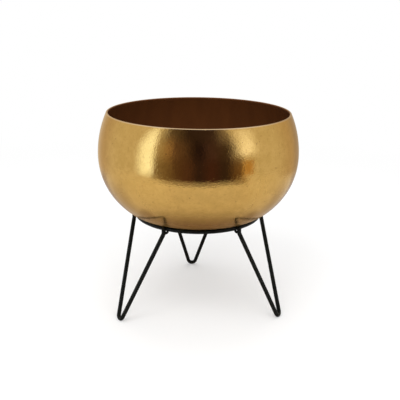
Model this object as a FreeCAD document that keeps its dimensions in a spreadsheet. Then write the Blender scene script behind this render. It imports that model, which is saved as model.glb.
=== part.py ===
import FreeCAD, Part
import math
import os

import Sketcher
from FreeCAD import Placement, Rotation, Vector

# A round-bellied bowl that rests in a wire stand: a ring on three hairpin legs.
# The origin is on the floor, on the bowl's axis. +Z is up, and -Y is the front.

# Driving dimensions, in millimetres and degrees
SIZES = [
    ("bowl_diameter", 251.8, "outside, at the widest line"),
    ("mouth_inset", 11.6, "widest line in to the lip, measured level, on one side"),
    ("bowl_height", 128.8, "base to lip"),
    ("side_radius", 86.2, "outside, of the side's curve below the widest line"),
    ("side_turn", 53.1, "degrees that this curve turns before the tighter heel takes it on"),
    ("heel_radius", 35.1, "outside, of the heel, which runs level into the flat base"),
    ("bowl_wall", 2.8, "wall and floor"),
    ("lip_flat", 0.4, "level strip left on the lip between its two rounded edges"),
    ("wire_diameter", 5.2, "ring and legs"),
    ("ring_diameter", 157.4, "middle of the wire"),
    ("ring_height", 125.0, "floor to the middle of the wire"),
    ("foot_inset", 9.1, "widest line in to the circle through the middle of the foot bends"),
    ("foot_bend_radius", 5.3, "middle of the wire"),
    ("rod_spread", 53.0, "degrees round the ring between the two ends of one leg"),
    ("end_drop", 5.5, "ring's middle down to the corner where a rod end turns upright"),
    ("end_rise", 2.0, "ring's middle up to the cut end of a rod"),
    ("end_bend_radius", 6.0, "middle of the wire"),
    ("weld_depth", 1.5, "how far a rod end is sunk into the ring"),
    ("bead_length", 6.4, "weld bead, along its slope"),
    ("bead_thickness", 3.2, "weld bead, across"),
    ("bead_lean", 45.0, "degrees that a bead leans from upright, away from its rod"),
    ("seat_clearance", 0.3, "bowl to ring"),
]

# The legs stand evenly round the ring, with the first one at the rear.
# Each leg has two rod ends, the first one clockwise of the leg as seen from above.
LEG_NAMES = ["rear", "left", "right"]
ROD_END_NAMES = [("right", "left"), ("side", "front"), ("front", "side")]
REAR_LEG_TURN = 90.0
FULL_TURN = 360.0

# Where a weld bead's middle lies beside its rod end, in shares of the wire's radius
BEAD_ALONG_SHARE = 1.35
BEAD_OUT_SHARE = 0.75
BEAD_DOWN_SHARE = 1.45

UP = Vector(0, 0, 1)

doc = FreeCAD.newDocument("planter_with_stand")
sheet = doc.addObject("Spreadsheet::Sheet", "Sizes")
for row, (name, value, note) in enumerate(SIZES, start=1):
    sheet.set(f"A{row}", name)
    sheet.set(f"B{row}", str(value))
    sheet.set(f"C{row}", note)
    sheet.setAlias(f"B{row}", name)
doc.recompute()


def size(name):
    return float(sheet.get(name))


class BowlProfile:
    """Radii and centres of the three arcs that make the bowl's side, base at height 0."""

    def __init__(self):
        self.belly_radius = size("bowl_diameter") / 2
        self.mouth_radius = self.belly_radius - size("mouth_inset")
        self.height = size("bowl_height")
        self.belly_arc = size("side_radius")
        self.heel_arc = size("heel_radius")
        self.turn = math.radians(size("side_turn"))

        # The belly arc leaves the widest line upright and turns by the given angle.
        # The heel arc takes it on, tangent, and runs level into the flat base.
        # So the flat's radius and the widest line's height follow from the two arcs.
        between_centres = self.belly_arc - self.heel_arc
        self.base_radius = (
            self.belly_radius - self.belly_arc + between_centres * math.cos(self.turn)
        )
        self.belly_height = self.heel_arc + between_centres * math.sin(self.turn)

        # The shoulder arc leaves the widest line upright and ends at the lip.
        inset = size("mouth_inset")
        self.rise = self.height - self.belly_height
        self.shoulder_arc = (inset ** 2 + self.rise ** 2) / (2 * inset)

        self.heel_centre = Vector(self.base_radius, self.heel_arc, 0)
        self.belly_centre = Vector(self.belly_radius - self.belly_arc, self.belly_height, 0)
        self.shoulder_centre = Vector(self.belly_radius - self.shoulder_arc, self.belly_height, 0)

    def base_above_ring(self, ring_radius, reach):
        """Height of the base over the ring's middle where the side lies at reach from it."""
        heel_run = ring_radius - self.base_radius
        if heel_run <= 0:
            return reach
        if heel_run <= (self.heel_arc + reach) * math.cos(self.turn):
            drop = math.sqrt((self.heel_arc + reach) ** 2 - heel_run ** 2)
            return drop - self.heel_centre.y
        belly_run = ring_radius - self.belly_centre.x
        drop = math.sqrt((self.belly_arc + reach) ** 2 - belly_run ** 2)
        return drop - self.belly_centre.y


def origin_plane(body, role):
    for feature in body.Origin.OriginFeatures:
        if feature.Role == role:
            return feature
    raise RuntimeError(f"no plane {role}")


def arc(centre, radius, start, end):
    return Part.ArcOfCircle(Part.Circle(centre, UP, radius), start, end)


def planter_bowl(profile):
    """The shell: one closed outline turned about the bowl's axis, with a rounded lip."""
    body = doc.addObject("PartDesign::Body", "PlanterBowl")
    body.Label = "planter_bowl"
    sketch = body.newObject("Sketcher::SketchObject", "BowlOutline")
    sketch.AttachmentSupport = [(origin_plane(body, "XZ_Plane"), "")]
    sketch.MapMode = "FlatFace"

    wall = size("bowl_wall")
    quarter = math.pi / 2
    outer_end = math.asin(profile.rise / profile.shoulder_arc)
    inner_end = math.asin(profile.rise / (profile.shoulder_arc - wall))
    outer_lip = profile.shoulder_centre.x + profile.shoulder_arc * math.cos(outer_end)
    inner_lip = profile.shoulder_centre.x + (profile.shoulder_arc - wall) * math.cos(inner_end)

    def line(x_from, y_from, x_to, y_to):
        return Part.LineSegment(Vector(x_from, y_from, 0), Vector(x_to, y_to, 0))

    outline = [
        line(0, 0, profile.base_radius, 0),
        arc(profile.heel_centre, profile.heel_arc, -quarter, -profile.turn),
        arc(profile.belly_centre, profile.belly_arc, -profile.turn, 0),
        arc(profile.shoulder_centre, profile.shoulder_arc, 0, outer_end),
        line(outer_lip, profile.height, inner_lip, profile.height),
        arc(profile.shoulder_centre, profile.shoulder_arc - wall, 0, inner_end),
        arc(profile.belly_centre, profile.belly_arc - wall, -profile.turn, 0),
        arc(profile.heel_centre, profile.heel_arc - wall, -quarter, -profile.turn),
        line(profile.base_radius, wall, 0, wall),
        line(0, wall, 0, 0),
    ]
    base, heel, belly, shoulder, lip, inner_shoulder, inner_belly, inner_heel, floor, axis = (
        sketch.addGeometry(outline, False)
    )
    start, end, centre = 1, 2, 3
    origin, root = -1, 1

    relations = [
        ("Coincident", base, start, origin, root),
        ("Horizontal", base),
        ("Tangent", base, end, heel, start),
        ("Tangent", heel, end, belly, start),
        ("Tangent", belly, end, shoulder, start),
        ("Horizontal", belly, centre, belly, end),
        ("Coincident", shoulder, end, lip, start),
        ("Horizontal", lip),
        ("Coincident", lip, end, inner_shoulder, end),
        ("Coincident", inner_shoulder, centre, shoulder, centre),
        ("Coincident", inner_belly, centre, belly, centre),
        ("Coincident", inner_heel, centre, heel, centre),
        ("Tangent", inner_shoulder, start, inner_belly, end),
        ("Tangent", inner_belly, start, inner_heel, end),
        ("Tangent", inner_heel, start, floor, start),
        ("Horizontal", floor),
        ("Coincident", floor, end, axis, start),
        ("Coincident", axis, end, base, start),
        ("Vertical", axis),
    ]
    for relation in relations:
        sketch.addConstraint(Sketcher.Constraint(*relation))

    lengths = [
        ("heel_radius", ("Radius", heel), "Sizes.heel_radius"),
        ("belly_radius", ("DistanceX", origin, root, belly, end), "Sizes.bowl_diameter / 2"),
        ("side_radius", ("Radius", belly), "Sizes.side_radius"),
        (
            "mouth_radius",
            ("DistanceX", origin, root, shoulder, end),
            "Sizes.bowl_diameter / 2 - Sizes.mouth_inset",
        ),
        ("lip_height", ("DistanceY", origin, root, shoulder, end), "Sizes.bowl_height"),
        ("floor_height", ("DistanceY", base, start, floor, end), "Sizes.bowl_wall"),
    ]
    values = [
        profile.heel_arc,
        profile.belly_radius,
        profile.belly_arc,
        profile.mouth_radius,
        profile.height,
        wall,
    ]
    for (label, relation, expression), value in zip(lengths, values):
        index = sketch.addConstraint(Sketcher.Constraint(*relation, value))
        sketch.renameConstraint(index, label)
        sketch.setExpression(f"Constraints.{label}", expression)
    index = sketch.addConstraint(Sketcher.Constraint("Angle", belly, profile.turn))
    sketch.renameConstraint(index, "side_turn")
    sketch.setExpression("Constraints.side_turn", "Sizes.side_turn * 1 deg")

    shell = body.newObject("PartDesign::Revolution", "BowlShell")
    shell.Profile = sketch
    shell.ReferenceAxis = (sketch, ["V_Axis"])
    shell.Angle = FULL_TURN
    doc.recompute()

    rounding = body.newObject("PartDesign::Fillet", "RoundedLip")
    rounding.Base = (shell, lip_edges(shell.Shape, profile.height))
    rounding.setExpression("Radius", "(Sizes.bowl_wall - Sizes.lip_flat) / 2")
    body.Tip = rounding

    reach = size("wire_diameter") / 2 + size("seat_clearance")
    seat = size("ring_height") + profile.base_above_ring(size("ring_diameter") / 2, reach)
    body.Placement = Placement(UP * seat, Rotation())
    return body


def lip_edges(shape, height):
    """The names of the two circles where the lip's flat top ends, the highest closed edges."""
    names = []
    for number, edge in enumerate(shape.Edges, start=1):
        if edge.isClosed() and height - edge.Vertexes[0].Z < size("bowl_wall"):
            names.append(f"Edge{number}")
    return names


def support_ring():
    ring = doc.addObject("Part::Torus", "SupportRing")
    ring.Label = "support_ring"
    ring.setExpression("Radius1", "Sizes.ring_diameter / 2")
    ring.setExpression("Radius2", "Sizes.wire_diameter / 2")
    ring.setExpression("Placement.Base.z", "Sizes.ring_height")
    return ring


def rod_end_radius():
    """Distance of an upright rod end from the bowl's axis: outside the ring, sunk into its weld."""
    return size("ring_diameter") / 2 + size("wire_diameter") - size("weld_depth")


def hairpin_route():
    """Middle line of one leg that stands towards +X, from one cut end to the other."""
    half_spread = math.radians(size("rod_spread") / 2)
    wire_radius = size("wire_diameter") / 2
    bend = size("foot_bend_radius")

    def end_point(side, height):
        across = side * math.sin(half_spread)
        return Vector(rod_end_radius() * math.cos(half_spread), rod_end_radius() * across, height)

    corner_height = size("ring_height") - size("end_drop")
    cut_height = size("ring_height") + size("end_rise")

    # Both rods run straight from the corners under the ring to the foot bend.
    # The foot bend's lowest point is on the foot circle, and its wire touches the floor.
    sole = Vector(size("bowl_diameter") / 2 - size("foot_inset"), 0, wire_radius)
    left_corner = end_point(1, corner_height)
    right_corner = end_point(-1, corner_height)
    middle = (left_corner + right_corner) / 2
    half_width = left_corner.y
    height = (middle - sole).Length - bend
    half_angle = math.acos(bend / math.hypot(half_width, height)) - math.atan2(height, half_width)
    apex = sole - (middle - sole).normalize() * bend * (1 / math.sin(half_angle) - 1)

    points = [
        end_point(1, cut_height),
        left_corner,
        apex,
        right_corner,
        end_point(-1, cut_height),
    ]
    end_bend = size("end_bend_radius")
    return rounded_wire(points, [end_bend, bend, end_bend])


def rounded_wire(points, radii):
    """Straight runs through the points, with a tangent arc at each corner."""
    edges = []
    start = points[0]
    for before, corner, after, radius in zip(points, points[1:], points[2:], radii):
        back = (before - corner).normalize()
        onward = (after - corner).normalize()
        half = back.getAngle(onward) / 2
        reach = radius / math.tan(half)
        first = corner + back * reach
        last = corner + onward * reach
        crown = corner + (back + onward).normalize() * (radius / math.sin(half) - radius)
        edges.append(Part.LineSegment(start, first).toShape())
        edges.append(Part.Arc(first, crown, last).toShape())
        start = last
    edges.append(Part.LineSegment(start, points[-1]).toShape())
    return Part.Wire(edges)


def hairpin_rod():
    """The bent rod of one leg, towards +X, before its ends are welded to the ring."""
    route = doc.addObject("Part::Feature", "HairpinRoute")
    route.Shape = hairpin_route()
    section = doc.addObject("Part::Circle", "HairpinSection")
    section.setExpression("Radius", "Sizes.wire_diameter / 2")
    section.Placement = Placement(route.Shape.Vertexes[0].Point, Rotation())
    rod = doc.addObject("Part::Sweep", "HairpinRod")
    rod.Sections = [section]
    rod.Spine = (route, [f"Edge{number + 1}" for number in range(len(route.Shape.Edges))])
    rod.Solid = True
    rod.Frenet = False
    return rod


def leg_placement(number):
    turn = REAR_LEG_TURN + FULL_TURN * number / len(LEG_NAMES)
    return Placement(Vector(), Rotation(UP, turn))


def hairpin_leg(number, rod, ring):
    """One leg: the rod, with its ends sunk against the ring."""
    name = LEG_NAMES[number]
    leg = doc.addObject("Part::Cut", f"HairpinLeg{name.capitalize()}")
    leg.Label = f"hairpin_leg_{name}"
    leg.Base = rod
    leg.Tool = ring
    leg.Placement = leg_placement(number)
    return leg


def bead_blank(side):
    """A whole weld bead beside the rod end on one side of the leg that stands towards +X."""
    wire_radius = size("wire_diameter") / 2
    blank = doc.addObject("Part::Ellipsoid", "BeadBlank")
    blank.setExpression("Radius1", "Sizes.bead_length / 2")
    blank.setExpression("Radius2", "Sizes.bead_thickness / 2")
    blank.setExpression("Radius3", "Sizes.bead_thickness / 2")
    place = Vector(
        size("ring_diameter") / 2 + wire_radius * BEAD_OUT_SHARE,
        side * wire_radius * BEAD_ALONG_SHARE,
        size("ring_height") - wire_radius * BEAD_DOWN_SHARE,
    )
    lean = Rotation(Vector(-1, 0, 0), side * size("bead_lean"))
    round_ring = Placement(Vector(), Rotation(UP, side * size("rod_spread") / 2))
    blank.Placement = round_ring * Placement(place, lean)
    return blank


def weld_bead(number, side, blank, wires):
    """One bead: the blank, less the ring and the rod that it joins."""
    clockwise_end, other_end = ROD_END_NAMES[number]
    end_name = other_end if side > 0 else clockwise_end
    name = LEG_NAMES[number]
    bead = doc.addObject("Part::Cut", f"WeldBead{name.capitalize()}{end_name.capitalize()}")
    bead.Label = f"weld_bead_{name}_{end_name}"
    bead.Base = blank
    bead.Tool = wires
    bead.Placement = leg_placement(number)
    return bead


def check(sub_parts):
    for item in doc.Objects:
        if "Invalid" in item.State or "Error" in item.State:
            raise RuntimeError(f"{item.Name} failed: {item.State}")
    for item in sub_parts:
        if item.Shape.isNull() or not item.Shape.isValid() or len(item.Shape.Solids) != 1:
            raise RuntimeError(f"{item.Label} isn't one valid solid")


profile = BowlProfile()
bowl = planter_bowl(profile)
ring = support_ring()
rod = hairpin_rod()
wires = doc.addObject("Part::MultiFuse", "WeldedWires")
wires.Shapes = [ring, rod]

sub_parts = [bowl, ring]
leg_numbers = range(len(LEG_NAMES))
for number in leg_numbers:
    sub_parts.append(hairpin_leg(number, rod, ring))
for side in (1, -1):
    blank = bead_blank(side)
    for number in leg_numbers:
        sub_parts.append(weld_bead(number, side, blank, wires))

doc.recompute()
check(sub_parts)
os.makedirs("parts", exist_ok=True)
for item in sub_parts:
    item.Shape.exportStep(f"parts/{item.Label}.step")
    box = item.Shape.BoundBox
    print(
        f"{item.Label:24s} {item.Shape.Volume:12.1f} mm3"
        f"  x {box.XMin:8.2f} {box.XMax:8.2f}"
        f"  y {box.YMin:8.2f} {box.YMax:8.2f}"
        f"  z {box.ZMin:8.2f} {box.ZMax:8.2f}"
    )
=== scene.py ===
import bmesh
import bpy
import math
from mathutils import Matrix, Vector, noise


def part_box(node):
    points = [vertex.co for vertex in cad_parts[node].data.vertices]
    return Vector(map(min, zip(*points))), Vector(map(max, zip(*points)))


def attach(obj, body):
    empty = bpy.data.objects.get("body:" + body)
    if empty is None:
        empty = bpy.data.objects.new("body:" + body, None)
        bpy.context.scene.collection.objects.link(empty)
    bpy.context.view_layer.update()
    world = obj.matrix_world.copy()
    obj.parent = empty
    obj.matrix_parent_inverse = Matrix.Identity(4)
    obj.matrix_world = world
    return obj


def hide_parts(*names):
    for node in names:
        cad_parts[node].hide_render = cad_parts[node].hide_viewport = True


# A round-bellied gold bowl in a black wire stand, in metres.
# The origin is on the floor, on the bowl's axis. +Z is up, and -Y is the front.

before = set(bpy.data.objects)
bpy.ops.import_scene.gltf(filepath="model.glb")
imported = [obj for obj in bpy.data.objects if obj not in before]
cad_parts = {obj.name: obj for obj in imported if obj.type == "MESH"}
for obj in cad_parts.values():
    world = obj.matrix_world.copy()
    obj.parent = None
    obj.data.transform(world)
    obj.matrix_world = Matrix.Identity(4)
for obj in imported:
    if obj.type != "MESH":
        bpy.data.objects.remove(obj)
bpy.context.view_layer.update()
MM = 0.001

# The bowl's outline, from its base up
BASE_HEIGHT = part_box("planter_bowl")[0].z
BELLY_RADIUS = 125.9 * MM
MOUTH_RADIUS = 114.3 * MM
BOWL_HEIGHT = 128.8 * MM
SIDE_RADIUS = 86.2 * MM
SIDE_TURN = math.radians(53.1)
HEEL_RADIUS = 35.1 * MM
BASE_RADIUS = BELLY_RADIUS - SIDE_RADIUS + (SIDE_RADIUS - HEEL_RADIUS) * math.cos(SIDE_TURN)
BELLY_HEIGHT = HEEL_RADIUS + (SIDE_RADIUS - HEEL_RADIUS) * math.sin(SIDE_TURN)
WALL = 2.8 * MM
LIP_ROUNDING = 1.2 * MM
LIP_HEIGHT = BASE_HEIGHT + BOWL_HEIGHT

# How far the bowl's outside settles onto the ring, and how uneven its wall is
SEAT_DEPTH = 0.27 * MM
SEAT_REACH = 10 * MM
DENT_DEPTH = 0.06 * MM
EVEN_AT_BASE = 12 * MM
EVEN_AT_LIP = 9 * MM
BOWL_COLUMNS = 360

# The stand's wire
WIRE_RADIUS = 2.6 * MM
RING_RADIUS = 78.7 * MM
RING_HEIGHT = 125.0 * MM
ROD_END_RADIUS = 82.4 * MM
ROD_SPREAD = math.radians(53.0)
FOOT_CIRCLE_RADIUS = 116.8 * MM
FOOT_BEND = 5.3 * MM
END_BEND = 6.0 * MM
END_DROP = 5.5 * MM
END_RISE = 2.0 * MM
LEG_TURNS = {"rear": 90.0, "left": 210.0, "right": 330.0}
WIRE_SIDES = 28
RING_STEPS = 240
BEND_STEPS = 14

# The weld beads. The last line places a bead's middle off the ring's middle line, beside its rod:
# outwards, aside and down, as shares of the wire's radius.
BEAD_LENGTH = 6.4 * MM
BEAD_THICKNESS = 3.2 * MM
BEAD_LEAN = math.radians(45.0)
BEAD_LUMPS = 0.5 * MM
LUMPS_PER_METRE = 620.0
BEAD_OUT, BEAD_ASIDE, BEAD_DOWN = 0.75, 1.35, 1.45

# Colours of the finishes
GOLD_DEEP = (0.485, 0.291, 0.077, 1)
GOLD_BRIGHT = (0.55, 0.335, 0.097, 1)
GOLD_CLOUD = (0.525, 0.318, 0.089, 1)
GOLD_RUB = (0.36, 0.2, 0.052, 1)
GOLD_PIT = (0.2, 0.1, 0.035, 1)
# The lip's rubbed-bare gold, made paler in part as a painted highlight
GOLD_LIP_WEAR_AND_HIGHLIGHT = (0.66, 0.475, 0.285, 1)
GOLD_GRAZED = (0.98, 0.93, 0.83, 1)
BROWN_DEEP = (0.095, 0.0302, 0.0070, 1)
BROWN_PALE = (0.108, 0.0346, 0.0082, 1)
BROWN_SPECK = (0.15, 0.062, 0.02, 1)
BLACK_DEEP = (0.0036, 0.0041, 0.0031, 1)
BLACK_PALE = (0.0062, 0.0068, 0.0054, 1)
BLACK_SPECK = (0.02, 0.021, 0.019, 1)


# Small helpers

def placed(name, data):
    """Puts a mesh, a lamp or a camera into the scene as an object."""
    thing = bpy.data.objects.new(name, data)
    bpy.context.scene.collection.objects.link(thing)
    return thing


def placed_form(name, form):
    """Turns a form built with bmesh into an object in the scene."""
    mesh = bpy.data.meshes.new(name)
    form.to_mesh(mesh)
    form.free()
    return placed(name, mesh)


def even_steps(start, end, count):
    """Values from start to end, in as many equal steps as count says."""
    return [start + (end - start) * number / count for number in range(count + 1)]


def step(tree, kind, inputs=None, **settings):
    """Adds a node, sets its options, and fills its inputs with values or with other outputs."""
    node = tree.nodes.new(kind)
    for name, value in settings.items():
        setattr(node, name, value)
    for key, value in (inputs or {}).items():
        socket = node.inputs[key]
        if isinstance(value, bpy.types.NodeSocket):
            tree.links.new(value, socket)
        else:
            socket.default_value = value
    return node


def reckon(tree, operation, *values):
    """One step of arithmetic, on numbers or on other outputs."""
    return step(tree, "ShaderNodeMath", dict(enumerate(values)), operation=operation).outputs[0]


def plus(tree, first, second):
    """One value plus another."""
    return reckon(tree, "ADD", first, second)


def minus(tree, first, second):
    """One value less another."""
    return reckon(tree, "SUBTRACT", first, second)


def times(tree, first, second):
    """One value times another."""
    return reckon(tree, "MULTIPLY", first, second)


def share_of(tree, first, second):
    """One value as a share of another."""
    return reckon(tree, "DIVIDE", first, second)


def larger(tree, first, second):
    """The larger of two values."""
    return reckon(tree, "MAXIMUM", first, second)


def combine(tree, x=0.0, y=0.0, z=0.0):
    """A vector from its three parts."""
    return step(tree, "ShaderNodeCombineXYZ", {"X": x, "Y": y, "Z": z}).outputs[0]


def split(tree, vector):
    """The three parts of a vector, by their names."""
    return step(tree, "ShaderNodeSeparateXYZ", {0: vector}).outputs


def object_place(tree):
    """Where a point lies in the piece's own coordinates, in metres."""
    return step(tree, "ShaderNodeTexCoord").outputs["Object"]


def grain(tree, place, scale, detail=2.0, rough=0.5, warp=0.0):
    """A cloudy pattern, from 0 to 1. The scale is in blotches to the metre."""
    inputs = {"Vector": place, "Scale": scale, "Detail": detail, "Roughness": rough, "Distortion": warp}
    return step(tree, "ShaderNodeTexNoise", inputs).outputs[0]


def ease(tree, value, low, high, at_low=0.0, at_high=1.0):
    """Turns a value between low and high into one between at_low and at_high, with soft ends."""
    inputs = {"Value": value, 1: low, 2: high, 3: at_low, 4: at_high}
    return step(tree, "ShaderNodeMapRange", inputs, interpolation_type="SMOOTHSTEP").outputs[0]


def between(tree, value, rise_from, rise_to, fall_from, fall_to):
    """1 inside a stretch of values, falling softly to 0 past each end."""
    up = ease(tree, value, rise_from, rise_to)
    return times(tree, up, ease(tree, value, fall_from, fall_to, 1.0, 0.0))


def tint(tree, share, first, second):
    """Mixes the second colour into the first, by a share from 0 to 1."""
    return step(tree, "ShaderNodeMix", {0: share, 6: first, 7: second}, data_type="RGBA").outputs[2]


def bands(tree, value, low, high, stops):
    """A soft run of colours along a value from low to high. Each stop is a value and its colour."""
    share = step(tree, "ShaderNodeMapRange", {"Value": value, 1: low, 2: high}).outputs[0]
    node = step(tree, "ShaderNodeValToRGB", {0: share})
    ramp = node.color_ramp
    ramp.interpolation = "EASE"
    while len(ramp.elements) < len(stops):
        ramp.elements.new(1.0)
    for element, (position, colour) in zip(ramp.elements, stops):
        element.position = (position - low) / (high - low)
        element.color = (*colour, 1.0)
    return node.outputs[0]


def relief(tree, height, depth, under=None):
    """Raises the surface by a pattern, up to the given depth in metres."""
    inputs = {"Height": height, "Distance": depth, "Strength": 1.0}
    if under is not None:
        inputs["Normal"] = under
    return step(tree, "ShaderNodeBump", inputs).outputs["Normal"]


def empty_material(name):
    """A material with nothing in its tree yet, and that tree."""
    material = bpy.data.materials.new(name)
    material.use_nodes = True
    material.node_tree.nodes.clear()
    return material, material.node_tree


def new_finish(name):
    """A material with its output and main shader, its tree, and the piece's own coordinates."""
    material, tree = empty_material(name)
    shader = step(tree, "ShaderNodeBsdfPrincipled")
    step(tree, "ShaderNodeOutputMaterial", {"Surface": shader.outputs[0]})
    return material, tree, shader, object_place(tree)


# Finishes

def gold_leaf_finish():
    """The outside of the bowl: rubbed antique gold over metal, finely crinkled like leaf."""
    material, tree, shader, place = new_finish("AntiqueGoldLeaf")
    crinkle = grain(tree, place, 450.0, detail=2.0, rough=0.5, warp=0.6)
    blotch = grain(tree, place, 120.0, detail=4.0, rough=0.65)
    cloud = grain(tree, place, 22.0, detail=2.0)

    gold = tint(tree, ease(tree, blotch, 0.35, 0.68), GOLD_DEEP, GOLD_BRIGHT)
    gold = tint(tree, ease(tree, cloud, 0.3, 0.7, 0.0, 0.5), gold, GOLD_CLOUD)

    # Sparse pits, and a darker rub in the bottom of the crinkles
    pit = step(tree, "ShaderNodeTexVoronoi", {"Vector": place, "Scale": 95.0, "Randomness": 1.0})
    pit = ease(tree, pit.outputs["Distance"], 0.035, 0.075, 1.0, 0.0)
    rub = ease(tree, crinkle, 0.26, 0.46, 0.4, 0.0)
    gold = tint(tree, rub, gold, GOLD_RUB)
    gold = tint(tree, pit, gold, GOLD_PIT)

    # The lip is rubbed bare, so it is paler than the gold below it. Part of that paleness is a painted
    # highlight along the lip's edge.
    height = split(tree, place)["Z"]
    worn_and_highlit = ease(tree, height, LIP_HEIGHT - 1.1 * MM, LIP_HEIGHT - 0.5 * MM)
    gold = tint(tree, worn_and_highlit, gold, GOLD_LIP_WEAR_AND_HIGHLIGHT)
    tree.links.new(gold, shader.inputs["Base Color"])

    # Duller towards the heel, where hands and the ring rub it
    dull = ease(tree, height, BASE_HEIGHT + 6 * MM, BASE_HEIGHT + 26 * MM, 0.30, 0.0)
    roughness = plus(tree, ease(tree, blotch, 0.3, 0.75, 0.03, 0.06), dull)
    tree.links.new(roughness, shader.inputs["Roughness"])
    shader.inputs["Metallic"].default_value = 1.0
    shader.inputs["Specular Tint"].default_value = GOLD_GRAZED

    swell = relief(tree, grain(tree, place, 60.0, detail=1.0), 0.02 * MM)
    crinkled = relief(tree, crinkle, 0.105 * MM, swell)
    pitted = relief(tree, pit, -0.03 * MM, crinkled)
    tree.links.new(pitted, shader.inputs["Normal"])
    return material


def bronze_paint_finish():
    """The inside of the bowl: matt dark brown paint, a little streaked from top to bottom."""
    material, tree, shader, place = new_finish("DarkBronzePaint")
    drawn = step(tree, "ShaderNodeMapping", {"Vector": place, "Scale": (1.0, 1.0, 0.25)}).outputs[0]
    streak = grain(tree, drawn, 70.0, detail=4.0)
    speck = grain(tree, place, 900.0, detail=1.0)
    brown = tint(tree, ease(tree, streak, 0.3, 0.7), BROWN_DEEP, BROWN_PALE)
    brown = tint(tree, ease(tree, speck, 0.62, 0.8, 0.0, 0.35), brown, BROWN_SPECK)
    tree.links.new(brown, shader.inputs["Base Color"])
    tree.links.new(ease(tree, streak, 0.3, 0.7, 0.60, 0.54), shader.inputs["Roughness"])
    shader.inputs["Specular IOR Level"].default_value = 0.15
    tree.links.new(relief(tree, speck, 0.03 * MM), shader.inputs["Normal"])
    return material


def powder_coat_finish():
    """The wire: satin black powder coat with its fine pebbled skin."""
    material, tree, shader, place = new_finish("BlackPowderCoat")
    pebble = grain(tree, place, 1300.0, detail=2.0)
    wave = grain(tree, place, 160.0, detail=3.0)
    black = tint(tree, ease(tree, wave, 0.3, 0.7), BLACK_DEEP, BLACK_PALE)
    black = tint(tree, ease(tree, pebble, 0.66, 0.82, 0.0, 0.5), black, BLACK_SPECK)
    tree.links.new(black, shader.inputs["Base Color"])
    tree.links.new(ease(tree, wave, 0.3, 0.7, 0.38, 0.5), shader.inputs["Roughness"])
    shader.inputs["Specular IOR Level"].default_value = 0.1
    skin = relief(tree, wave, 0.05 * MM)
    tree.links.new(relief(tree, pebble, 0.02 * MM, skin), shader.inputs["Normal"])
    return material


gold_leaf = gold_leaf_finish()
bronze_paint = bronze_paint_finish()
powder_coat = powder_coat_finish()


# The bowl

def arc_points(centre, radius, start, end, count):
    """Points along an arc, from the start angle to the end angle, as (radius, height)."""
    return [
        (centre[0] + radius * math.cos(angle), centre[1] + radius * math.sin(angle))
        for angle in even_steps(start, end, count)
    ]


def bowl_outline():
    """The wall's outline: base, outside up to the lip, over it, and the inside down to the floor.
    Also gives the place in the list where the brown paint starts."""
    inset, rise = BELLY_RADIUS - MOUTH_RADIUS, BOWL_HEIGHT - BELLY_HEIGHT
    shoulder_arc = (inset ** 2 + rise ** 2) / (2 * inset)
    heel = (BASE_RADIUS, HEEL_RADIUS)
    belly = (BELLY_RADIUS - SIDE_RADIUS, BELLY_HEIGHT)
    shoulder = (BELLY_RADIUS - shoulder_arc, BELLY_HEIGHT)

    # Each rounded edge of the lip touches the level top and one side of the wall.
    drop = rise - LIP_ROUNDING
    outer_reach = shoulder_arc - LIP_ROUNDING
    inner_reach = shoulder_arc - WALL + LIP_ROUNDING
    outer_turn = math.asin(drop / outer_reach)
    inner_turn = math.asin(drop / inner_reach)
    outer_lip = (shoulder[0] + outer_reach * math.cos(outer_turn), BOWL_HEIGHT - LIP_ROUNDING)
    inner_lip = (shoulder[0] + inner_reach * math.cos(inner_turn), BOWL_HEIGHT - LIP_ROUNDING)
    quarter = math.pi / 2

    base_shares = (0.12, 0.3, 0.55, 0.8)
    outline = [(BASE_RADIUS * share, 0.0) for share in base_shares]
    outline += arc_points(heel, HEEL_RADIUS, -quarter, -SIDE_TURN, 30)
    outline += arc_points(belly, SIDE_RADIUS, -SIDE_TURN, 0.0, 44)[1:]
    outline += arc_points(shoulder, shoulder_arc, 0.0, outer_turn, 30)[1:]
    outline += arc_points(outer_lip, LIP_ROUNDING, outer_turn, quarter, 6)[1:]
    # The paint starts two steps down the lip's inner rounding.
    paint_start = len(outline) + 2
    outline += arc_points(inner_lip, LIP_ROUNDING, quarter, math.pi + inner_turn, 8)
    outline += arc_points(shoulder, shoulder_arc - WALL, inner_turn, 0.0, 24)[1:]
    outline += arc_points(belly, SIDE_RADIUS - WALL, 0.0, -SIDE_TURN, 24)[1:]
    outline += arc_points(heel, HEEL_RADIUS - WALL, -SIDE_TURN, -quarter, 16)[1:]
    outline += [(BASE_RADIUS * share, WALL) for share in reversed(base_shares)]
    return outline, paint_start


def wall_point(radius, height, angle, settled):
    """A point of the wall, lowered onto the ring and dented a little. Dents only go inwards, so
    the bowl never grows past its size, and there are none at the lip, the base and the seat."""
    place = Vector((radius * math.cos(angle), radius * math.sin(angle), height - settled))
    calm = min(1.0, height / EVEN_AT_BASE, max(0.0, BOWL_HEIGHT - height) / EVEN_AT_LIP)
    calm *= 1 - settled / SEAT_DEPTH
    dent = 0.5 + 0.5 * noise.noise(place * 17.0) + 0.2 * noise.noise(place * 41.0)
    shrink = 1 - DENT_DEPTH * calm * max(0.0, dent) / BELLY_RADIUS
    return (place.x * shrink, place.y * shrink, BASE_HEIGHT + place.z)


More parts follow.
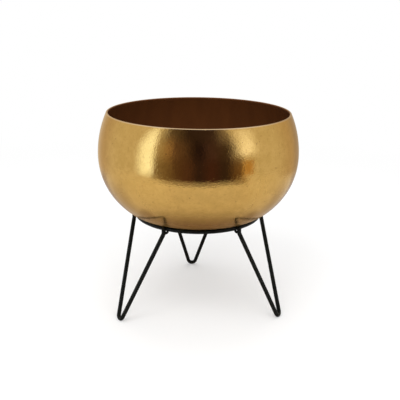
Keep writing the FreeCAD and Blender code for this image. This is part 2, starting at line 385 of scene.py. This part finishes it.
def bowl_piece():
    """The shell, turned round its axis and a little uneven, as a pressed and rubbed bowl is.
    Finish 0 is the gold and finish 1 the brown paint."""
    outline, paint_start = bowl_outline()
    angles = [2 * math.pi * column / BOWL_COLUMNS for column in range(BOWL_COLUMNS)]
    neighbours = [(column, (column + 1) % BOWL_COLUMNS) for column in range(BOWL_COLUMNS)]
    form = bmesh.new()

    def add_face(corners, finish):
        face = form.faces.new(corners)
        face.material_index = finish
        face.smooth = True

    rings = []
    for row, (radius, height) in enumerate(outline):
        # The outside lies down on the ring, and keeps its line away from it.
        off_seat = abs(radius - RING_RADIUS) / SEAT_REACH
        outside = row < paint_start and height < BELLY_HEIGHT
        settled = SEAT_DEPTH * (1 - off_seat ** 2) ** 2 if outside and off_seat < 1 else 0.0
        rings.append([form.verts.new(wall_point(radius, height, angle, settled)) for angle in angles])
    for row, (lower, upper) in enumerate(zip(rings, rings[1:])):
        for column, after in neighbours:
            corners = (lower[column], lower[after], upper[after], upper[column])
            add_face(corners, 1 if row >= paint_start else 0)
    for ring, height, finish in ((rings[0], 0.0, 0), (rings[-1], WALL, 1)):
        middle = form.verts.new((0.0, 0.0, BASE_HEIGHT + height))
        for column, after in neighbours:
            edge = (ring[column], ring[after]) if finish else (ring[after], ring[column])
            add_face((*edge, middle), finish)
    bmesh.ops.recalc_face_normals(form, faces=form.faces)

    piece = placed_form("bowl_shell", form)
    for finish in (gold_leaf, bronze_paint):
        piece.data.materials.append(finish)
    return piece


# The wire stand, made by rule with Geometry Nodes

def new_tree(name, sizes):
    """A Geometry Nodes tree with a named input for each size. Gives the tree, the values of its
    inputs, and its output node."""
    tree = bpy.data.node_groups.new(name, "GeometryNodeTree")
    tree.interface.new_socket("Geometry", in_out="INPUT", socket_type="NodeSocketGeometry")
    tree.interface.new_socket("Geometry", in_out="OUTPUT", socket_type="NodeSocketGeometry")
    for label, value in sizes.items():
        socket = tree.interface.new_socket(label, in_out="INPUT", socket_type="NodeSocketFloat")
        socket.default_value = value
    return tree, step(tree, "NodeGroupInput").outputs, step(tree, "NodeGroupOutput")


def finish_tree(tree, out, geometry):
    """Smooth, real and coated: the end of every tree here."""
    smooth = step(tree, "GeometryNodeSetShadeSmooth", {0: geometry})
    real = step(tree, "GeometryNodeRealizeInstances", {0: smooth.outputs[0]})
    inputs = {"Geometry": real.outputs[0], "Material": powder_coat}
    coated = step(tree, "GeometryNodeSetMaterial", inputs)
    tree.links.new(coated.outputs[0], out.inputs[0])


def round_wire(tree, path, wire_radius):
    """A round wire along a path, closed at its ends."""
    inputs = {"Resolution": WIRE_SIDES, "Radius": wire_radius}
    section = step(tree, "GeometryNodeCurvePrimitiveCircle", inputs)
    inputs = {"Curve": path, "Profile Curve": section.outputs[0], "Fill Caps": True}
    return step(tree, "GeometryNodeCurveToMesh", inputs).outputs[0]


def ring_tree():
    """The support ring: one wire bent to a level circle."""
    sizes = {"Ring radius": RING_RADIUS, "Wire radius": WIRE_RADIUS, "Height": RING_HEIGHT}
    tree, given, out = new_tree("SupportRing", sizes)
    inputs = {"Resolution": RING_STEPS, "Radius": given["Ring radius"]}
    circle = step(tree, "GeometryNodeCurvePrimitiveCircle", inputs)
    wire = round_wire(tree, circle.outputs[0], given["Wire radius"])
    inputs = {"Geometry": wire, "Translation": combine(tree, z=given["Height"])}
    raised = step(tree, "GeometryNodeTransform", inputs)
    finish_tree(tree, out, raised.outputs[0])
    return tree


def leg_tree():
    """A hairpin leg: its corner points joined, each corner bent to its radius, then wired and turned."""
    sizes = {"Wire radius": WIRE_RADIUS, "Foot bend": FOOT_BEND, "End bend": END_BEND, "Turn": 0.0}
    tree, given, out = new_tree("HairpinLeg", sizes)
    path = step(tree, "GeometryNodeMeshToCurve", {"Mesh": given["Geometry"]})

    # Counted from 0, corner point 2 is the foot.
    corner = step(tree, "GeometryNodeInputIndex").outputs[0]
    at_foot = step(tree, "FunctionNodeCompare", {2: corner, 3: 2}, data_type="INT", operation="EQUAL")
    inputs = {"Switch": at_foot.outputs[0], "False": given["End bend"], "True": given["Foot bend"]}
    bend = step(tree, "GeometryNodeSwitch", inputs, input_type="FLOAT")
    inputs = {"Curve": path.outputs[0], "Radius": bend.outputs[0], "Count": BEND_STEPS}
    bent = step(tree, "GeometryNodeFilletCurve", inputs, mode="POLY")
    wire = round_wire(tree, bent.outputs[0], given["Wire radius"])
    inputs = {"Geometry": wire, "Rotation": combine(tree, z=given["Turn"])}
    turned = step(tree, "GeometryNodeTransform", inputs)
    finish_tree(tree, out, turned.outputs[0])
    return tree


def bead_tree():
    """The six weld beads: one lumpy bead beside each rod end, under the ring."""
    sizes = {
        "Bead length": BEAD_LENGTH,
        "Bead thickness": BEAD_THICKNESS,
        "Wire radius": WIRE_RADIUS,
        "Ring radius": RING_RADIUS,
        "Ring height": RING_HEIGHT,
        "Half spread": ROD_SPREAD / 2,
        "Lean": BEAD_LEAN,
        "Lumps": BEAD_LUMPS,
    }
    tree, given, out = new_tree("WeldBeads", sizes)

    # Even numbers lie on one side of a leg, where side is -1, and odd ones on the other, where it is 1.
    number = step(tree, "GeometryNodeInputIndex").outputs[0]
    side = minus(tree, times(tree, reckon(tree, "MODULO", number, 2.0), 2.0), 1.0)
    leg = reckon(tree, "FLOOR", share_of(tree, number, 2.0))
    turn = plus(tree, times(tree, leg, 2 * math.pi / 3), math.pi / 2)
    turn = plus(tree, turn, times(tree, side, given["Half spread"]))

    # A bead's middle is placed for a rod that stands towards +X, and then turned to its own rod.
    wire = given["Wire radius"]
    beside = combine(
        tree,
        plus(tree, given["Ring radius"], times(tree, wire, BEAD_OUT)),
        times(tree, side, times(tree, wire, BEAD_ASIDE)),
        minus(tree, given["Ring height"], times(tree, wire, BEAD_DOWN)),
    )
    inputs = {"Vector": beside, "Angle": turn}
    place = step(tree, "ShaderNodeVectorRotate", inputs, rotation_type="Z_AXIS").outputs[0]
    spots = step(tree, "GeometryNodePoints", {"Count": 2 * len(LEG_TURNS), "Position": place})

    lean = times(tree, side, times(tree, given["Lean"], -1.0))
    half_thick = times(tree, given["Bead thickness"], 0.5)
    half_long = times(tree, given["Bead length"], 0.5)
    ball = step(tree, "GeometryNodeMeshUVSphere", {"Segments": 36, "Rings": 24, "Radius": 1.0})
    inputs = {
        "Points": spots.outputs[0],
        "Instance": ball.outputs[0],
        "Rotation": combine(tree, x=lean, z=turn),
        "Scale": combine(tree, half_thick, half_thick, half_long),
    }
    beads = step(tree, "GeometryNodeInstanceOnPoints", inputs)
    real = step(tree, "GeometryNodeRealizeInstances", {0: beads.outputs[0]})

    # Each bead's skin is raised and sunk a little about the pattern's middle, the same way every time.
    here = step(tree, "GeometryNodeInputPosition").outputs[0]
    lump = minus(tree, grain(tree, here, LUMPS_PER_METRE, detail=2.0), 0.55)
    lump = times(tree, lump, given["Lumps"])
    facing = step(tree, "GeometryNodeInputNormal").outputs[0]
    shift = step(tree, "ShaderNodeVectorMath", {0: facing, "Scale": lump}, operation="SCALE").outputs[0]
    lumpy = step(tree, "GeometryNodeSetPosition", {"Geometry": real.outputs[0], "Offset": shift})
    finish_tree(tree, out, lumpy.outputs[0])
    return tree


def made_by(tree, name, corners=(), **values):
    """Runs a tree on a path of corner points and keeps the result as a plain mesh."""
    path = bpy.data.meshes.new(name + "_path")
    edges = [(number, number + 1) for number in range(len(corners) - 1)]
    path.from_pydata([tuple(point) for point in corners], edges, [])
    maker = placed(name + "_maker", path)
    modifier = maker.modifiers.new("Rule", "NODES")
    modifier.node_group = tree
    for item in tree.interface.items_tree:
        if item.item_type == "SOCKET" and item.in_out == "INPUT" and item.name in values:
            modifier[item.identifier] = values[item.name]
    ready = maker.evaluated_get(bpy.context.evaluated_depsgraph_get())
    mesh = bpy.data.meshes.new_from_object(ready)
    mesh.name = name
    maker.modifiers.remove(modifier)
    bpy.data.objects.remove(maker)
    return placed(name, mesh)


def leg_corners():
    """Corner points of a leg that stands towards +X, from one cut end to the other. The tip lies
    so far out that the foot's bend touches the foot circle."""
    half = ROD_SPREAD / 2
    across, out = ROD_END_RADIUS * math.sin(half), ROD_END_RADIUS * math.cos(half)
    left, right = Vector((out, across, 0)), Vector((out, -across, 0))
    corner, cut = Vector((0, 0, RING_HEIGHT - END_DROP)), Vector((0, 0, RING_HEIGHT + END_RISE))
    sole = Vector((FOOT_CIRCLE_RADIUS, 0, WIRE_RADIUS))
    slope = (left + right) / 2 + corner - sole
    height = slope.length - FOOT_BEND
    half_angle = math.acos(FOOT_BEND / math.hypot(across, height)) - math.atan2(height, across)
    tip = sole - slope.normalized() * FOOT_BEND * (1 / math.sin(half_angle) - 1)
    return [left + cut, left + corner, tip, right + corner, right + cut]


bowl = bowl_piece()
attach(bowl, "bowl")
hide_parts("planter_bowl")

ring = made_by(ring_tree(), "ring_wire")
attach(ring, "stand")
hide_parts("support_ring")

hairpin = leg_tree()
for side, degrees in LEG_TURNS.items():
    leg = made_by(hairpin, f"leg_wire_{side}", leg_corners(), Turn=math.radians(degrees))
    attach(leg, "stand")
    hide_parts(f"hairpin_leg_{side}")

beads = made_by(bead_tree(), "weld_beads")
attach(beads, "stand")
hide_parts(*[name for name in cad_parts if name.startswith("weld_bead_")])


# The studio: a pale floor, soft lamps, and cards that only the metal reflects.
# An azimuth is an angle round the bowl in degrees, 0 towards the camera and + to its right.

HEADING = math.radians(-4.033)
WHITE = (1, 1, 1, 1)
WORLD_LEVEL = 0.72
LAMP_AIM = Vector((0, 0, 0.15))

# The floor, and the distances from the bowl's axis at which plain white starts and is reached
FLOOR_RADIUS = 14.0
FLOOR_LIT = (0.8, 0.8, 0.8, 1)
FLOOR_SEEN = (0.96, 0.96, 0.96, 1)
FLOOR_WHITE = (0.35, 1.1)
SHADOW_LIFT = 0.25

# The cards. Those with a smaller radius stand before the others.
ROOM_RADIUS = 0.90
CARD_RISE = 2 * MM
CARD_ROWS = 12
CARD_COLUMNS = 48
LEFT_WINDOW_LIGHT = (2.0, 2.45, 3.3, 1)
RIGHT_WINDOW_LIGHT = (1.75, 1.95, 2.5, 1)
BOARD_COLOUR = (0.80, 0.54, 0.25, 1)
SCREEN_COLOUR = (0.73, 0.60, 0.41, 1)
SCREEN_DARKER = (0.44, 0.33, 0.20, 1)
SCREEN_COVER = 0.82

# The dim room's bands, low down, at mid height and high up: azimuth and colour
ROOM_SPAN = (-60, 60)
ROOM_LOW = (
    (-50, (0.50, 0.45, 0.36)),
    (-30, (0.29, 0.22, 0.15)),
    (-22, (0.16, 0.10, 0.07)),
    (-11, (0.13, 0.07, 0.06)),
    (1, (0.055, 0.034, 0.042)),
    (13, (0.088, 0.040, 0.040)),
    (27, (0.06, 0.04, 0.042)),
    (42, (0.24, 0.155, 0.09)),
    (51, (0.60, 0.43, 0.20)),
)
ROOM_MIDDLE = (
    (-50, (0.95, 0.92, 0.80)),
    (-40, (0.60, 0.53, 0.41)),
    (-31, (0.52, 0.38, 0.28)),
    (-23, (0.20, 0.13, 0.105)),
    (1, (0.030, 0.018, 0.028)),
    (13, (0.10, 0.06, 0.078)),
    (29, (0.09, 0.065, 0.06)),
    (42, (0.62, 0.62, 0.70)),
)
ROOM_TOP = (
    (-44, (0.70, 0.72, 0.80)),
    (-29, (0.17, 0.14, 0.13)),
    (-10, (0.055, 0.038, 0.045)),
    (15, (0.070, 0.048, 0.060)),
    (30, (0.34, 0.31, 0.33)),
    (39, (0.85, 0.86, 0.95)),
)

# Two edges of the floor before the dim room: how far out each is straight in front, and how far
# at its round sides. Past the inner one the floor is darker, and past the outer one it ends.
OUTER_EDGE = (0.632, 0.680)
INNER_EDGE = (0.492, 0.535)
EDGE_ROUNDING = 0.08
INNER_DARKNESS = 0.62
# How much dimmer the middle of the reflected floor is painted, before the arch
MIDDLE_DIMMING = 0.13

# The shade under the bowl, and how dark it is at each distance from the bowl's axis
SHADE_RISE = 3 * MM
SHADE_RADIUS = 0.80
SHADE_COLOUR = (0.145, 0.046, 0.008, 1)
SHADE_STEPS = (
    (0.0, 0.82), (0.04, 0.76), (0.07, 0.66), (0.10, 0.54), (0.134, 0.35), (0.175, 0.20),
    (0.22, 0.14), (0.30, 0.12), (0.45, 0.09), (0.60, 0.04), (SHADE_RADIUS, 0.0),
)


def seen_share(tree):
    """1 where the camera, a reflection or glass looks at a surface, 0 where it only lights others."""
    rays = step(tree, "ShaderNodeLightPath").outputs
    share = larger(tree, rays["Is Camera Ray"], rays["Is Glossy Ray"])
    return larger(tree, share, rays["Is Transmission Ray"])


def glow_over(tree, colour, share, under):
    """Ends a material's tree: a share of the surface glows, and the rest is the shader under it."""
    glow = step(tree, "ShaderNodeEmission", {"Color": colour, "Strength": 1.0})
    surface = step(tree, "ShaderNodeMixShader", {0: share, 1: under.outputs[0], 2: glow.outputs[0]})
    step(tree, "ShaderNodeOutputMaterial", {"Surface": surface.outputs[0]})


def off_axis(tree, place):
    """How far a place on the floor is from the bowl's axis."""
    return step(tree, "ShaderNodeVectorMath", {0: place}, operation="LENGTH").outputs["Value"]


def round_sheet(name, radius, sides):
    """A flat round sheet about the bowl's axis."""
    form = bmesh.new()
    bmesh.ops.create_circle(form, cap_ends=True, radius=radius, segments=sides)
    return placed_form(name, form)


def pale_floor():
    """A pale floor that turns to plain white away from the object. It keeps the object's shadow,
    which the camera sees a little lighter."""
    floor = round_sheet("studio_floor", FLOOR_RADIUS, 96)

    material, tree = empty_material("PaleStudioFloor")
    seen = seen_share(tree)
    lit = step(tree, "ShaderNodeBsdfDiffuse", {"Color": tint(tree, seen, FLOOR_LIT, FLOOR_SEEN)})
    white = times(tree, seen, ease(tree, off_axis(tree, object_place(tree)), *FLOOR_WHITE))
    pictured = step(tree, "ShaderNodeLightPath").outputs["Is Camera Ray"]
    white = larger(tree, white, times(tree, pictured, SHADOW_LIFT))
    glow_over(tree, WHITE, white, lit)
    floor.data.materials.append(material)


def white_room():
    """The world: white wherever it is seen, and a little dimmer where it lights the object."""
    world = bpy.data.worlds.new("WhiteStudio")
    bpy.context.scene.world = world
    world.use_nodes = True
    tree = world.node_tree
    tree.nodes.clear()
    level = ease(tree, seen_share(tree), 0.0, 1.0, WORLD_LEVEL, 1.0)
    light = step(tree, "ShaderNodeBackground", {"Color": WHITE, "Strength": level})
    step(tree, "ShaderNodeOutputWorld", {"Surface": light.outputs[0]})


def soft_lamp(name, azimuth, elevation, distance, size, power):
    """A square soft lamp that looks at the bowl."""
    data = bpy.data.lights.new(name, "AREA")
    data.shape = "SQUARE"
    data.size = size
    data.energy = power
    lamp = placed(name, data)
    turn, rise = math.radians(azimuth) + HEADING, math.radians(elevation)
    back = Vector((math.sin(turn) * math.cos(rise), -math.cos(turn) * math.cos(rise), math.sin(rise)))
    lamp.location = back * distance + LAMP_AIM
    lamp.rotation_mode = "QUATERNION"
    lamp.rotation_quaternion = (-back).to_track_quat("-Z", "Y")
    lamp.visible_glossy = False


def only_reflected(card):
    """Keeps a card out of sight, so that it lights nothing and casts no shadow."""
    card.visible_camera = False
    card.visible_diffuse = False
    card.visible_transmission = False
    card.visible_shadow = False


def card_mesh(name, radius, azimuths, top, on_floor):
    """A curved sheet round the bowl, from the floor to its top. Its UV map holds the azimuth in
    degrees and the height in metres. With on_floor, a part of it lies on the floor from that
    distance outwards, and there the height is below zero."""
    rows = []
    if on_floor is not None:
        rows += [(reach, CARD_RISE, reach - radius) for reach in even_steps(on_floor, radius, CARD_ROWS)]
    rows += [(radius, height + CARD_RISE, height) for height in even_steps(0.0, top, CARD_ROWS)]
    vertices, maps, faces = [], [], []
    for reach, height, along in rows:
        for degrees in even_steps(*azimuths, CARD_COLUMNS):
            turn = math.radians(degrees) + HEADING
            vertices.append((reach * math.sin(turn), -reach * math.cos(turn), height))
            maps.append((degrees, along))
    row_length = CARD_COLUMNS + 1
    for row in range(len(rows) - 1):
        for column in range(CARD_COLUMNS):
            first = row * row_length + column
            faces.append((first, first + 1, first + row_length + 1, first + row_length))
    mesh = bpy.data.meshes.new(name)
    mesh.from_pydata(vertices, [], faces)
    uv = mesh.uv_layers.new(name="AzimuthHeight")
    for loop in mesh.loops:
        uv.data[loop.index].uv = maps[loop.vertex_index]
    return mesh


def reflected_card(name, paint, radius, azimuths, top, on_floor=None):
    """Puts up a glowing card that shows only in reflections. paint(tree, azimuth, height) gives its
    colour and its cover, from 0 to 1."""
    card = placed(name, card_mesh(name, radius, azimuths, top, on_floor))
    only_reflected(card)
    material, tree = empty_material(name + "_glow")
    place = split(tree, step(tree, "ShaderNodeUVMap", uv_map="AzimuthHeight").outputs[0])
    colour, cover = paint(tree, place["X"], place["Y"])
    glow_over(tree, colour, cover, step(tree, "ShaderNodeBsdfTransparent"))
    card.data.materials.append(material)


def pane(tree, azimuth, height, across, upright):
    """1 inside a pane and 0 outside it. Its soft edges are given across, in degrees, and upright."""
    return times(tree, between(tree, azimuth, *across), between(tree, height, *upright))


def dim_room(tree, azimuth, height):
    """The unlit room behind the camera: dark, with broad dim upright bands."""
    levels = (ROOM_LOW, ROOM_MIDDLE, ROOM_TOP)
    low, middle, top = [bands(tree, azimuth, *ROOM_SPAN, stops) for stops in levels]
    colour = tint(tree, ease(tree, height, 0.15, 0.42), low, middle)
    colour = tint(tree, ease(tree, height, 0.42, 0.75), colour, top)

    # An arch: narrower towards the top, where it fades, and ending on the floor in front of the bowl
    half_width = ease(tree, height, 0.1, 0.95, 50.0, 38.0)
    soft = ease(tree, height, 0.05, 0.8, 3.5, 8.0)
    middle_line = ease(tree, height, -0.22, 0.05, 3.0, -2.0)
    off_middle = reckon(tree, "ABSOLUTE", minus(tree, azimuth, middle_line))
    edge = share_of(tree, minus(tree, half_width, off_middle), soft)
    cover = times(tree, ease(tree, edge, -1.0, 1.0), ease(tree, height, 1.05, 1.30, 1.0, 0.0))
    cover = times(tree, cover, past_the_floor(tree, azimuth, height))

    # In the reflected floor before the arch, the middle is painted a little dimmer.
    dimmer_middle = pane(tree, azimuth, height, (-42.0, -20.0, 40.0, 66.0), (-0.74, -0.60, -0.10, -0.02))
    return colour, larger(tree, cover, times(tree, dimmer_middle, MIDDLE_DIMMING))


def towards_edge(tree, forward, reach, straight, rounded):
    """How far out a place on the floor is, where 1 is an edge that is straight in front of the
    bowl and round at its sides."""
    in_front, at_side = share_of(tree, forward, straight), share_of(tree, reach, rounded)
    return reckon(tree, "SMOOTH_MAX", in_front, at_side, EDGE_ROUNDING)


def past_the_floor(tree, azimuth, height):
    """1 past the outer edge of the pale floor, and a part of it between the two edges."""
    reach = plus(tree, height, ROOM_RADIUS)
    forward = times(tree, reach, reckon(tree, "COSINE", reckon(tree, "RADIANS", azimuth)))
    outer = towards_edge(tree, forward, reach, *OUTER_EDGE)
    inner = towards_edge(tree, forward, reach, *INNER_EDGE)
    in_front = between(tree, azimuth, -50.0, -24.0, 44.0, 62.0)
    darker = times(tree, times(tree, ease(tree, inner, 0.93, 1.03), in_front), INNER_DARKNESS)
    return larger(tree, darker, ease(tree, outer, 0.95, 1.04))


def left_window(tree, azimuth, height):
    """A tall cool light to the left of the camera, leaning a little to the right."""
    lean = ease(tree, height, 0.33, 0.80, 0.0, 9.5)
    foot = ease(tree, height, 0.04, 0.16, -1.6, 0.0)
    left_edge = ease(tree, minus(tree, azimuth, lean), -71.0, -55.5)
    right_edge = ease(tree, minus(tree, azimuth, foot), -49.7, -42.2, 1.0, 0.0)
    upright = between(tree, height, -0.21, 0.11, 0.46, 1.10)
    return LEFT_WINDOW_LIGHT, times(tree, times(tree, left_edge, right_edge), upright)


def right_window(tree, azimuth, height):
    """A smaller cool light to the right, above the warm board."""
    cover = pane(tree, azimuth, height, (36.0, 50.0, 54.0, 70.0), (0.26, 0.36, 0.40, 0.95))
    return RIGHT_WINDOW_LIGHT, cover


def warm_board(tree, azimuth, height):
    """A low warm board that stands on the floor to the right."""
    cover = pane(tree, azimuth, height, (44.0, 49.5, 55.5, 60.5), (-0.03, 0.06, 0.19, 0.27))
    return BOARD_COLOUR, cover


def grey_screen(tree, azimuth, height):
    """A plain warm grey screen behind the bowl and to its right, so that its edges stay clear."""
    darker = between(tree, azimuth, 118.0, 142.0, 186.0, 214.0)
    colour = tint(tree, darker, SCREEN_COLOUR, SCREEN_DARKER)
    cover = pane(tree, azimuth, height, (86.0, 122.0, 230.0, 262.0), (-0.50, -0.25, 1.0, 1.6))
    return colour, times(tree, cover, SCREEN_COVER)


def shade_under_the_bowl():
    """A dark round card on the floor under the bowl, which shows only in reflections."""
    card = round_sheet("shade_card", SHADE_RADIUS, 64)
    card.location = (0.0, 0.0, SHADE_RISE)
    only_reflected(card)

    material, tree = empty_material("ShadeUnderBowl")
    place = object_place(tree)
    away = off_axis(tree, place)
    stops = [(reach, (amount, amount, amount)) for reach, amount in SHADE_STEPS]
    cover = bands(tree, away, 0.0, SHADE_RADIUS, stops)

    # The floor is darker behind the bowl, straight behind it further away, and close beside it.
    back = split(tree, place)["Y"]
    straight_back = share_of(tree, back, away)
    patches = (
        (back, -0.08, 0.06, (0.06, 0.11, 0.19, 0.60), 0.42),
        (straight_back, 0.42, 0.78, (0.12, 0.26, 0.50, 0.66), 0.55),
        (back, -0.09, -0.02, (0.05, 0.085, 0.135, 0.215), 0.57),
    )
    for backwards, start, full, distances, darkness in patches:
        patch = times(tree, ease(tree, backwards, start, full), between(tree, away, *distances))
        cover = larger(tree, cover, times(tree, patch, darkness))
    glow_over(tree, SHADE_COLOUR, cover, step(tree, "ShaderNodeBsdfTransparent"))
    card.data.materials.append(material)


pale_floor()
white_room()
soft_lamp("key_lamp", azimuth=-28.0, elevation=50.0, distance=1.5, size=0.9, power=9.0)
soft_lamp("fill_lamp", azimuth=30.0, elevation=42.0, distance=1.6, size=0.9, power=6.0)
soft_lamp("top_lamp", azimuth=180.0, elevation=74.0, distance=1.5, size=1.0, power=5.0)
shade_under_the_bowl()
reflected_card("dim_room_card", dim_room, ROOM_RADIUS, azimuths=(-66.0, 66.0), top=1.7, on_floor=0.12)
reflected_card("left_window_card", left_window, 0.88, azimuths=(-90.0, -36.0), top=1.4, on_floor=0.50)
reflected_card("right_window_card", right_window, 0.88, azimuths=(34.0, 74.0), top=1.4)
reflected_card("warm_board_card", warm_board, 0.89, azimuths=(38.0, 64.0), top=0.4, on_floor=0.75)
reflected_card("grey_screen_card", grey_screen, 0.93, azimuths=(76.0, 270.0), top=1.7, on_floor=0.30)


# The camera, as the photograph was taken

CAMERA_PLACE = (-55.83 * MM, -791.88 * MM, 392.7 * MM)
CAMERA_LENS = 57.838
CAMERA_HEADING = HEADING - math.radians(0.197)
CAMERA_PITCH = math.radians(90 - 17.673)
CAMERA_ROLL = math.radians(0.695)

view = bpy.data.cameras.new("photograph_camera")
view.sensor_width = 36.0
view.lens = CAMERA_LENS
camera = placed("photograph_camera", view)
heading = Matrix.Rotation(CAMERA_HEADING, 4, "Z")
pitch = Matrix.Rotation(CAMERA_PITCH, 4, "X")
roll = Matrix.Rotation(CAMERA_ROLL, 4, "Z")
camera.matrix_world = Matrix.Translation(CAMERA_PLACE) @ heading @ pitch @ roll
bpy.context.scene.camera = camera
bpy.context.scene.view_settings.view_transform = "Standard"
